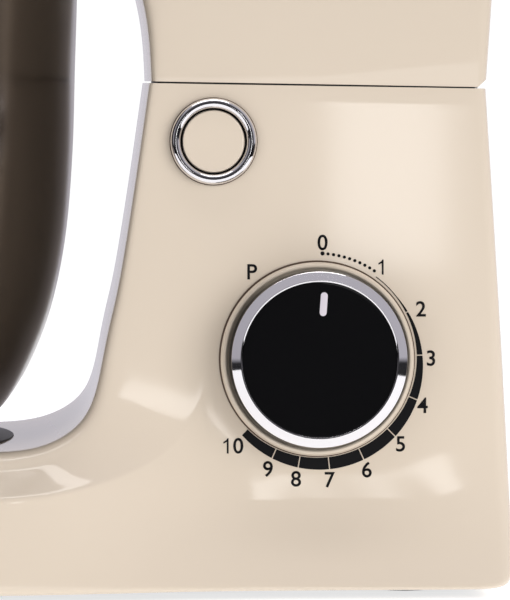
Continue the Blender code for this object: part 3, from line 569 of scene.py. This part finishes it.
def head_sections():
    """The nose as a fan of sections about its own axis, then the head, its corner and the neck."""
    sections = []
    axis_x = NOSE_X + NOSE_ROUND
    straight = bent_section((axis_x, HEAD_TOP), (axis_x, HEAD_SPLIT), (axis_x, HEAD_UNDER),
                            lambda x, z: HEAD_HALF, HEAD_HALF, 16.0, 7.0, 0.0, 6.0)
    for degrees in (0, 12, 26, 42, 58, 74, 90):
        c = max(math.cos(math.radians(degrees)), 0.0) ** 0.8
        s = math.sin(math.radians(degrees)) ** 0.8
        section = []
        for _, half, z in straight:
            out = half / HEAD_HALF
            droop = NOSE_DROP * c * out * out * (z - HEAD_SPLIT) / (HEAD_TOP - HEAD_SPLIT)
            section.append((axis_x - NOSE_ROUND * out * c, half * s, z - droop))
        sections.append(section)
    bends = (
        ((-100, 355), (-100, 300), (-100, 250), 62, 16, 7, 0, 6),
        ((-20, 355), (-20, 300), (-20, 250), 62, 16, 7, 0, 6),
        ((60, 355), (45, 300), (28, 250.2), 62, 16, 6, 0, 6),
        ((110, 355), (76, 282), (44, 245), 61.4, 16, 6, 0, 6),
        ((148, 354.5), (100, 266), (53, 236), 60.8, 15, 5.5, 0.4, 6),
        ((176, 350), (113, 252), (59.6, 226), 60.2, 13, 5, 0.8, 6),
        ((189, 334), (119, 240), (63.2, 214), 59.4, 10, 4.5, 1.2, 6),
        ((192.4, 300), (122, 226), (64.9, 204), 58.6, 7, 3.6, 1.3, 6),
        ((191.0, 245), (124, 208), (65.7, 195), 58.2, 4.5, 2.8, 1.3, 6),
        ((186.8, 182.9), (125, 184.0), (66.1, 185.0), 57.8, 2.6, 2.4, 1.3, 6),
    )
    for outer, middle, inner, half, r_out, r_in, bulge, crease in bends:
        sections.append(bent_section(outer, middle, inner, head_half_width, half,
                                     r_out, r_in, bulge, crease))
    return sections


def make_base():
    base = bent_surface("base_shell", base_sections())
    trim_faces(base, lambda c: c.z < BASE_BOTTOM + 0.01)
    mirror_and_round(base)
    point_outwards(base)
    give_wall(base)
    subtract(base, block((172, -HINGE_HALF, 176), (200, HINGE_HALF, 200)))
    in_edit_mode(base, lambda: bpy.ops.mesh.fill_holes(sides=8))
    soften(base, 30)
    dress(base, "base", "cream", replaces=("base_housing",))
    return base


def make_seam_lip():
    """The dark upstand inside the column's top edge that the head's neck closes over."""
    x0, x1, half, corner, wall = 68.1, 183.1, 55.2, 3.0, 1.4
    outlines = []
    for inset in (0.0, wall):
        radius = corner - inset
        outline = []
        for cx, cy, start in ((x1 - corner, half - corner, 0), (x0 + corner, half - corner, 90),
                              (x0 + corner, corner - half, 180), (x1 - corner, corner - half, 270)):
            for k in range(7):
                a = math.radians(start + 15 * k)
                outline.append((cx + radius * math.cos(a), cy + radius * math.sin(a)))
        outlines.append(outline)
    lip = flat_shape("seam_lip", outlines, 8.2, place(0, 0, 179.2))
    subtract(lip, block((172, -32.4, 170), (190, 32.4, 195)))
    dress(lip, "base", "dark_plastic")


def level_half(obj, name, height, keep_above):
    """One side of a level cut through a copy of the surface."""
    only(obj)
    bpy.ops.object.duplicate()
    half = bpy.context.object
    half.name = name
    in_edit_mode(half, lambda: bpy.ops.mesh.bisect(
        plane_co=(0, 0, height * MM), plane_no=(0, 0, 1),
        clear_inner=keep_above, clear_outer=not keep_above))
    return half


def make_head():
    whole = bent_surface("head_surface", head_sections())
    mirror_and_round(whole)
    upper = level_half(whole, "upper_cover", HEAD_SPLIT + 0.3, True)
    lower = level_half(whole, "lower_cover", HEAD_SPLIT - 0.3, False)
    bpy.data.objects.remove(whole, do_unlink=True)
    for cover in (upper, lower):
        point_outwards(cover)
        give_wall(cover)
    deselect()
    bpy.ops.mesh.primitive_cylinder_add(vertices=96, radius=HUB_OPENING_R * MM, depth=0.02,
                                        location=(BOWL_X * MM, 0, HEAD_UNDER * MM))
    subtract(lower, bpy.context.object)
    subtract(lower, block((172, -HINGE_HALF, 170), (200, HINGE_HALF, 192)))
    lean = Matrix.Rotation(-math.radians(TILT_DEG + 1.0), 4, "Y")
    subtract(lower, block((0.0, -80, -20), (30, 80, 0.0), place(HINGE_X, 0, HINGE_Z) @ lean))
    for cover, node in ((upper, "head_upper_shell"), (lower, "head_lower_shell")):
        soften(cover, 30)
        dress(cover, "head", "cream", replaces=(node,))


# ---------------------------------------------------------------- bowl

def bowl_profile():
    """The bowl's outside from rim to foot as an even curve through a few points."""
    knots = [(116.7, RIM_Z - 3.0), (116.4, 215), (115.6, 190), (114.7, 160), (112.4, 131),
             (108.3, 108), (102.5, 89.5), (94.5, 73), (85, 61), (73, 55.2), (62, 54), (30, 54),
             (0, 54)]
    points = []
    for i in range(len(knots) - 1):
        p0 = Vector(knots[max(i - 1, 0)])
        p1, p2 = Vector(knots[i]), Vector(knots[i + 1])
        p3 = Vector(knots[min(i + 2, len(knots) - 1)])
        for k in range(5):
            t = k / 5
            points.append(0.5 * ((2 * p1) + (p2 - p0) * t + (2 * p0 - 5 * p1 + 4 * p2 - p3) * t * t
                                 + (3 * p1 - p0 - 3 * p2 + p3) * t ** 3))
    points.append(Vector(knots[-1]))
    return points


def make_bowl():
    wall = 1.0
    outside = bowl_profile()
    inside = []
    for i, point in enumerate(outside):
        ahead = outside[min(i + 1, len(outside) - 1)]
        behind = outside[max(i - 1, 0)]
        along = (ahead - behind).normalized()
        inside.append(point + Vector((along.y, -along.x)) * wall)
    inside[-1].x = 0.0
    profile = [(p.x, p.y) for p in reversed(inside)]
    profile += [(115.8, RIM_Z - 1.0), (116.3, RIM_Z - 0.3), (117.4, RIM_Z), (118.6, RIM_Z - 0.3),
                (119.5, RIM_Z - 1.4), (119.8, RIM_Z - 2.8), (119.3, RIM_Z - 4.2),
                (118.3, RIM_Z - 4.9), (117.4, RIM_Z - 4.6), (117.3, RIM_Z - 4.2)]
    profile += [(p.x, p.y) for p in outside if p.y < RIM_Z - 5.0]
    bowl = turned("mixing_bowl", profile, place(BOWL_X, 0, 0), 128)
    dress(bowl, "bowl", "dark_steel", replaces=("bowl",))


def make_seat():
    profile = rounded([(0, 46.0, 0), (69.5, 46.0, 1.0), (69.5, SEAT_TOP, 0.8), (76, SEAT_TOP, 0.3),
                       (77, SEAT_TOP - 0.5, 0.3), (79, SEAT_TOP - 0.5, 0.3), (80, SEAT_TOP, 0.3),
                       (SEAT_R, SEAT_TOP, 0.6), (SEAT_R, SEAT_TOP - 0.8, 0.1),
                       (72.6, SEAT_TOP - 0.8, 0), (72.6, 43.8, 1.0), (0, 43.8, 0)], 4)
    seat = turned("bowl_seat_plate", profile, place(BOWL_X, 0, 0), 128)
    dress(seat, "base", "dark_plastic", replaces=("bowl_seat",))


# ---------------------------------------------------------------- dial

def flat_shape(name, outlines, thickness, matrix):
    """A flat piece from closed outlines in local XY, as a mesh in its place."""
    curve = bpy.data.curves.new(name, "CURVE")
    curve.dimensions = "2D"
    curve.fill_mode = "BOTH" if thickness else "FRONT"
    curve.extrude = thickness / 2 * MM
    for outline in outlines:
        spline = curve.splines.new("POLY")
        spline.points.add(len(outline) - 1)
        for point, (x, y) in zip(spline.points, outline):
            point.co = (x * MM, y * MM, 0.0, 1.0)
        spline.use_cyclic_u = True
    obj = bpy.data.objects.new(name, curve)
    bpy.context.scene.collection.objects.link(obj)
    only(obj)
    bpy.ops.object.convert(target="MESH")
    obj = bpy.context.object
    in_edit_mode(obj, lambda: bpy.ops.mesh.remove_doubles(threshold=0.000001))
    settle(obj, matrix @ Matrix.Translation((0, 0, thickness / 2 * MM)))
    return obj


def clock(radius, degrees):
    """Local point at a radius, with the angle clockwise from straight up."""
    a = math.radians(degrees)
    return (radius * math.sin(a), radius * math.cos(a))


def numeral(text, height, centre, matrix):
    """A figure of the scale, centred on its own outline."""
    deselect()
    bpy.ops.object.text_add()
    obj = bpy.context.object
    obj.name = "scale_" + text
    obj.data.body = text
    obj.data.size = height / 0.70 * MM
    obj.data.offset = 0.09 * MM
    obj.data.fill_mode = "FRONT"
    bpy.ops.object.convert(target="MESH")
    obj = bpy.context.object
    in_edit_mode(obj, lambda: bpy.ops.mesh.remove_doubles(threshold=0.000001))
    xs = [v.co.x for v in obj.data.vertices]
    ys = [v.co.y for v in obj.data.vertices]
    shift = Vector(((min(xs) + max(xs)) / 2, (min(ys) + max(ys)) / 2, 0.0))
    for vert in obj.data.vertices:
        vert.co -= shift
    settle(obj, matrix @ place(centre[0], centre[1], 0.0))
    return obj


def figure_one(height, centre, matrix):
    """A one with a flag, which the plain typeface lacks."""
    outline = ((0.03, -0.5), (0.15, -0.5), (0.15, 0.5), (0.07, 0.5), (0.0, 0.38), (-0.19, 0.27),
               (-0.19, 0.15), (0.03, 0.26))
    points = [(centre[0] + x * height, centre[1] + y * height) for x, y in outline]
    return flat_shape("scale_1", [points], 0.0, matrix)


def make_print(base):
    """The printed scale: a crescent in steps, a dotted lead-in and the figures around it."""
    height = 5.45
    plane = side_frame(DIAL_X, DIAL_Z) @ place(0, 0, 8.0)
    steps = (36.0, 63.1, 88.6, 112.9, 135.3, 155.5, 173.8, 190.1, 204.5, 224.5)
    inner, drop, outer, drop_at = 35.95, 2.9, 37.45, 165.0
    gap, thinnest, dots = 0.3, 0.3, 11

    def outer_radius(degrees):
        a = math.radians(degrees - drop_at)
        return drop * math.cos(a) + math.sqrt(outer ** 2 - (drop * math.sin(a)) ** 2)

    pieces = []
    for first, last in zip(steps, steps[1:]):
        start, end = first + gap * (first != steps[0]), last - gap * (last != steps[-1])
        angles = [mix(start, end, k / 16) for k in range(17)]
        rim = [clock(max(outer_radius(a), inner + thinnest), a) for a in angles]
        back = [clock(inner, a) for a in reversed(angles)]
        pieces.append(flat_shape("scale_step", [rim + back], 0.0, plane))
    for k in range(dots):
        share = k / (dots - 1)
        centre = clock(mix(37.7, 37.55, share), mix(3.0, 33.4, share))
        size = 0.75 if k == 0 else 0.58
        dot = [(centre[0] + size * math.cos(t * math.pi / 10),
                centre[1] + size * math.sin(t * math.pi / 10)) for t in range(20)]
        pieces.append(flat_shape("scale_dot", [dot], 0.0, plane))
    spots = (("0", 2.0, 41.6), ("P", -23.4, 31.1), ("2", 37.5, 17.6), ("3", 41.1, -0.2),
             ("4", 38.0, -17.2), ("5", 30.0, -31.1), ("6", 17.8, -40.3), ("7", 4.4, -43.9),
             ("8", -7.8, -43.5), ("9", -17.9, -39.9), ("0", -28.6, -31.5))
    for text, x, y in spots:
        pieces.append(numeral(text, height, (x, y), plane))
    for x, y in ((23.2, 32.7), (-32.9, -31.5)):
        pieces.append(figure_one(height, (x, y), plane))
    deselect()
    for piece in pieces:
        piece.select_set(True)
    bpy.context.view_layer.objects.active = pieces[0]
    bpy.ops.object.join()
    scale = bpy.context.object
    scale.name = "speed_scale"
    wrap = scale.modifiers.new("onto_side", "SHRINKWRAP")
    wrap.target = base
    wrap.wrap_method = "PROJECT"
    wrap.use_project_y = True
    wrap.use_positive_direction = True
    wrap.offset = 0.07 * MM
    wrap.wrap_mode = "ABOVE_SURFACE"
    apply_all(scale)
    skin = scale.modifiers.new("skin", "SOLIDIFY")
    skin.thickness = 0.06 * MM
    skin.offset = 0.0
    apply_all(scale)
    in_edit_mode(scale, lambda: bpy.ops.mesh.normals_make_consistent(inside=False))
    dress(scale, "base", "black_gloss", "print")


def make_dial():
    matrix = side_frame(DIAL_X, DIAL_Z)
    collar = turned("dial_surround", rounded([(32.7, 0.3, 0), (32.7, 2.3, 0.4), (33.3, 2.9, 0.4),
                                              (34.2, 2.7, 0.6), (COLLAR_R, 1.2, 0.5),
                                              (COLLAR_R, 0.3, 0)]), matrix, 160)
    dress(collar, "base", "cream", replaces=("dial_collar",))
    # A thin dark ring painted round the collar as shade, set off-centre so the painted shade is
    # heavier towards the top and front
    gap = turned("dial_painted_shade_ring", [(COLLAR_R - 0.5, 0.2), (COLLAR_R + 0.5, 0.2), (COLLAR_R + 0.5, 0.42),
                              (COLLAR_R - 0.5, 0.42)], matrix @ place(-0.12, 0.12, 0), 128)
    dress(gap, "base", "dark_plastic", "painted_shade")
    top = DIAL_TOP
    knob = turned("dial_cap", rounded([(0, 1.0, 0), (31.9, 1.0, 0.3), (31.4, top - 3.0, 0.2),
                                       (FACE_R - 0.2, top - 3.0, 0), (FACE_R - 0.2, top, 0.15),
                                       (0, top, 0)]), matrix, 160)
    dress(knob, "knob", "black_gloss", replaces=("speed_knob",))
    ring = turned("dial_ring", rounded([(FACE_R, top - 2.6, 0), (RING_R, top - 2.6, 0.2),
                                        (RING_R, top - 1.7, 0.25), (FACE_R + 0.5, top + 0.5, 0.15),
                                        (FACE_R, top + 0.35, 0.1)]), matrix, 160)
    dress(ring, "knob", "chrome", replaces=("knob_ring",))
    turn = Matrix.Rotation(-math.radians(POINTER_DEG), 4, "Z")
    outline = [(1.25 * math.cos(a), 3.0 + 1.25 * math.sin(a))
               for a in [math.pi * k / 12 for k in range(13)]]
    outline += [(-x, -y) for x, y in outline]
    bar = flat_shape("dial_pointer", [outline], 0.55, matrix @ turn @ place(0, 19.9, top - 0.25))
    round_edges(bar, 0.12, 2, 50)
    apply_all(bar)
    soften(bar)
    dress(bar, "knob", "pale_plastic", replaces=("knob_pointer",))


# ---------------------------------------------------------------- release button

def make_button():
    matrix = side_frame(BUTTON_X, BUTTON_Z)
    ring_mid, ring_half = 13.7, 1.85
    dome = [(ring_mid + ring_half * math.cos(a), 1.4 + 2.1 * math.sin(a))
            for a in [math.pi * k / 16 for k in range(17)]]
    bezel = turned("button_ring", [(BEZEL_R, 0.3)] + dome + [(ring_mid - ring_half, 0.3)],
                   matrix, 128)
    dress(bezel, "base", "chrome", replaces=("button_bezel",))
    # A thin dark ring painted round the bezel as shade
    gap = turned("button_painted_shade_ring", [(BEZEL_R - 0.5, 0.2), (BEZEL_R + 0.25, 0.2),
                                (BEZEL_R + 0.25, 0.42), (BEZEL_R - 0.5, 0.42)], matrix, 96)
    dress(gap, "base", "dark_plastic", "painted_shade")
    well = turned("button_well", [(BUTTON_R + 0.25, 0.35), (ring_mid - ring_half, 0.35),
                                  (ring_mid - ring_half, 1.0), (BUTTON_R + 0.25, 1.0)], matrix, 96)
    dress(well, "base", "black_gloss")
    cap = turned("button_cap", rounded([(0, -34.2, 0), (3.2, -34.2, 0.3), (3.2, -4.5, 0.4),
                                        (BUTTON_R, -4.5, 0.3), (BUTTON_R, 2.1, 0.45),
                                        (0, 2.1, 0)], 5), matrix, 96)
    dress(cap, "button", "cream", replaces=("release_button",))


def make_spring():
    """A copy of the button's coil."""
    source = frame["nodes"]["button_spring"]
    only(source)
    bpy.ops.object.duplicate()
    coil = bpy.context.object
    coil.name = "button_coil"
    in_edit_mode(coil, lambda: bpy.ops.mesh.remove_doubles(threshold=0.000001))
    soften(coil, 40)
    dress(coil, "base", "steel", replaces=("button_spring",))
    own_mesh(coil)


# ---------------------------------------------------------------- hub and beater

def make_hub():
    collar = turned("hub_skirt", rounded([(47.1, 236.5, 0.4), (49.6, 236.5, 1.2), (51.6, 240.5, 1.5),
                                          (51.6, 259.5, 0.3), (47.1, 259.5, 0.3)]),
                    place(BOWL_X, 0, 0), 128)
    dress(collar, "head", "chrome", replaces=("hub_collar",))


def make_beater():
    """A copy of the beater's plain solid with cast, rounded edges."""
    source = frame["nodes"]["flat_beater"]
    only(source)
    bpy.ops.object.duplicate()
    beater = bpy.context.object
    beater.name = "cast_beater"
    in_edit_mode(beater, lambda: bpy.ops.mesh.remove_doubles(threshold=0.000005),
                 lambda: bpy.ops.mesh.dissolve_limited(angle_limit=math.radians(1.0)),
                 lambda: bpy.ops.mesh.normals_make_consistent(inside=False))
    round_edges(beater, 2.2, 4, 45)
    apply_all(beater)
    settle(beater)
    soften(beater, 40)
    dress(beater, "planet", "cast_aluminium", replaces=("flat_beater",))


# ---------------------------------------------------------------- stage

def light(name, location, target, size, energy, colour=(1, 1, 1), mirrored=True):
    """A soft box; one that isn't mirrored lights the finishes without showing in them."""
    data = bpy.data.lights.new(name, "AREA")
    data.shape = "RECTANGLE"
    data.size, data.size_y = size
    data.energy = energy
    data.color = colour
    obj = bpy.data.objects.new(name, data)
    bpy.context.scene.collection.objects.link(obj)
    obj.location = location
    obj.rotation_euler = (Vector(target) - Vector(location)).to_track_quat("-Z", "Y").to_euler()
    obj.visible_glossy = mirrored
    return obj


def make_floor():
    """A pale glowing table top, small enough to end in the dark beside the mixer."""
    deselect()
    bpy.ops.mesh.primitive_plane_add(size=1.0, location=(0.02, 0.05, 0))
    floor = bpy.context.object
    floor.name = "floor"
    floor.scale = (1.1, 2.0, 1.0)
    bpy.ops.object.transform_apply(scale=True)
    pale = new_material("pale_floor", (0.6, 0.6, 0.6), 0.6)
    shader = pale.node_tree.nodes["Principled BSDF"]
    shader.inputs["Emission Color"].default_value = (1.0, 1.0, 1.0, 1.0)
    shader.inputs["Emission Strength"].default_value = 0.72
    floor.data.materials.append(pale)


def make_world():
    """White to the camera; to the finishes, lavender above and behind and dark in front."""
    world = bpy.context.scene.world or bpy.data.worlds.new("studio")
    bpy.context.scene.world = world
    world.use_nodes = True
    nodes, links = world.node_tree.nodes, world.node_tree.links
    nodes.clear()
    out = nodes.new("ShaderNodeOutputWorld")
    around = nodes.new("ShaderNodeBackground")
    around.inputs["Color"].default_value = (1.0, 0.965, 1.05, 1.0)
    seen = nodes.new("ShaderNodeBackground")
    seen.inputs["Color"].default_value = (1.0, 1.0, 1.0, 1.0)
    seen.inputs["Strength"].default_value = 1.05
    coords = nodes.new("ShaderNodeTexCoord")
    split = nodes.new("ShaderNodeSeparateXYZ")
    links.new(coords.outputs["Generated"], split.inputs[0])
    depth = nodes.new("ShaderNodeMapRange")
    depth.inputs["From Min"].default_value = -1.0
    links.new(split.outputs["Y"], depth.inputs["Value"])
    front = nodes.new("ShaderNodeValToRGB")
    stops = ((0.1, 0.05), (0.33, 0.50), (0.6, 0.52), (0.85, 0.72))
    ramp = front.color_ramp
    while len(ramp.elements) < len(stops):
        ramp.elements.new(0.5)
    for element, (at, level) in zip(ramp.elements, stops):
        element.position = at
        element.color = (level, level, level, 1.0)
    links.new(depth.outputs["Result"], front.inputs["Fac"])
    above = nodes.new("ShaderNodeMapRange")
    above.inputs["From Min"].default_value = -0.04
    above.inputs["From Max"].default_value = 0.02
    above.inputs["To Min"].default_value = 0.05
    links.new(split.outputs["Z"], above.inputs["Value"])
    far = nodes.new("ShaderNodeMapRange")
    far.inputs["From Min"].default_value = 0.1
    far.inputs["From Max"].default_value = 0.5
    links.new(split.outputs["Y"], far.inputs["Value"])
    below = nodes.new("ShaderNodeMath")
    below.operation = "MAXIMUM"
    links.new(above.outputs["Result"], below.inputs[0])
    links.new(far.outputs["Result"], below.inputs[1])
    strength = nodes.new("ShaderNodeMath")
    strength.operation = "MULTIPLY"
    links.new(front.outputs["Color"], strength.inputs[0])
    links.new(below.outputs[0], strength.inputs[1])
    links.new(strength.outputs[0], around.inputs["Strength"])
    path = nodes.new("ShaderNodeLightPath")
    choose = nodes.new("ShaderNodeMixShader")
    links.new(path.outputs["Is Camera Ray"], choose.inputs["Fac"])
    links.new(around.outputs[0], choose.inputs[1])
    links.new(seen.outputs[0], choose.inputs[2])
    links.new(choose.outputs[0], out.inputs["Surface"])


def make_lights():
    aim = (0.06, -0.05, 0.1)
    warm = (1.0, 0.978, 0.96)
    light("front_left_box", (-1.5, -1.9, 0.55), aim, (1.7, 1.7), 13.5, warm, False)
    light("front_right_box", (1.7, -1.7, 0.55), aim, (1.6, 1.7), 29.0, warm, False)
    light("front_right_sheen", (1.7, -1.7, 0.55), aim, (1.6, 1.7), 8.0, warm)
    light("overhead_strip", (0.0, -0.35, 1.6), (0.0, -0.1, 0.0), (1.4, 0.26), 4.6, warm)
    light("side_strip", (0.27, -1.56, 0.315), (0.27, 0.0, 0.315), (0.085, 0.25), 0.27)


def make_camera():
    data = bpy.data.cameras.new("view")
    data.lens = VIEW_LENS
    data.sensor_width = 36.0
    data.clip_start = 0.05
    camera = bpy.data.objects.new("view", data)
    bpy.context.scene.collection.objects.link(camera)
    camera.location = VIEW_POINT
    camera.rotation_euler = (VIEW_TARGET - VIEW_POINT).to_track_quat("-Z", "Y").to_euler()
    bpy.context.scene.camera = camera


bpy.context.scene.view_settings.view_transform = "Standard"
make_camera()
dress_cad_nodes()
base_piece = make_base()
make_seam_lip()
make_head()
make_bowl()
make_seat()
make_dial()
make_print(base_piece)
make_button()
make_spring()
make_hub()
make_beater()
make_floor()
make_world()
make_lights()
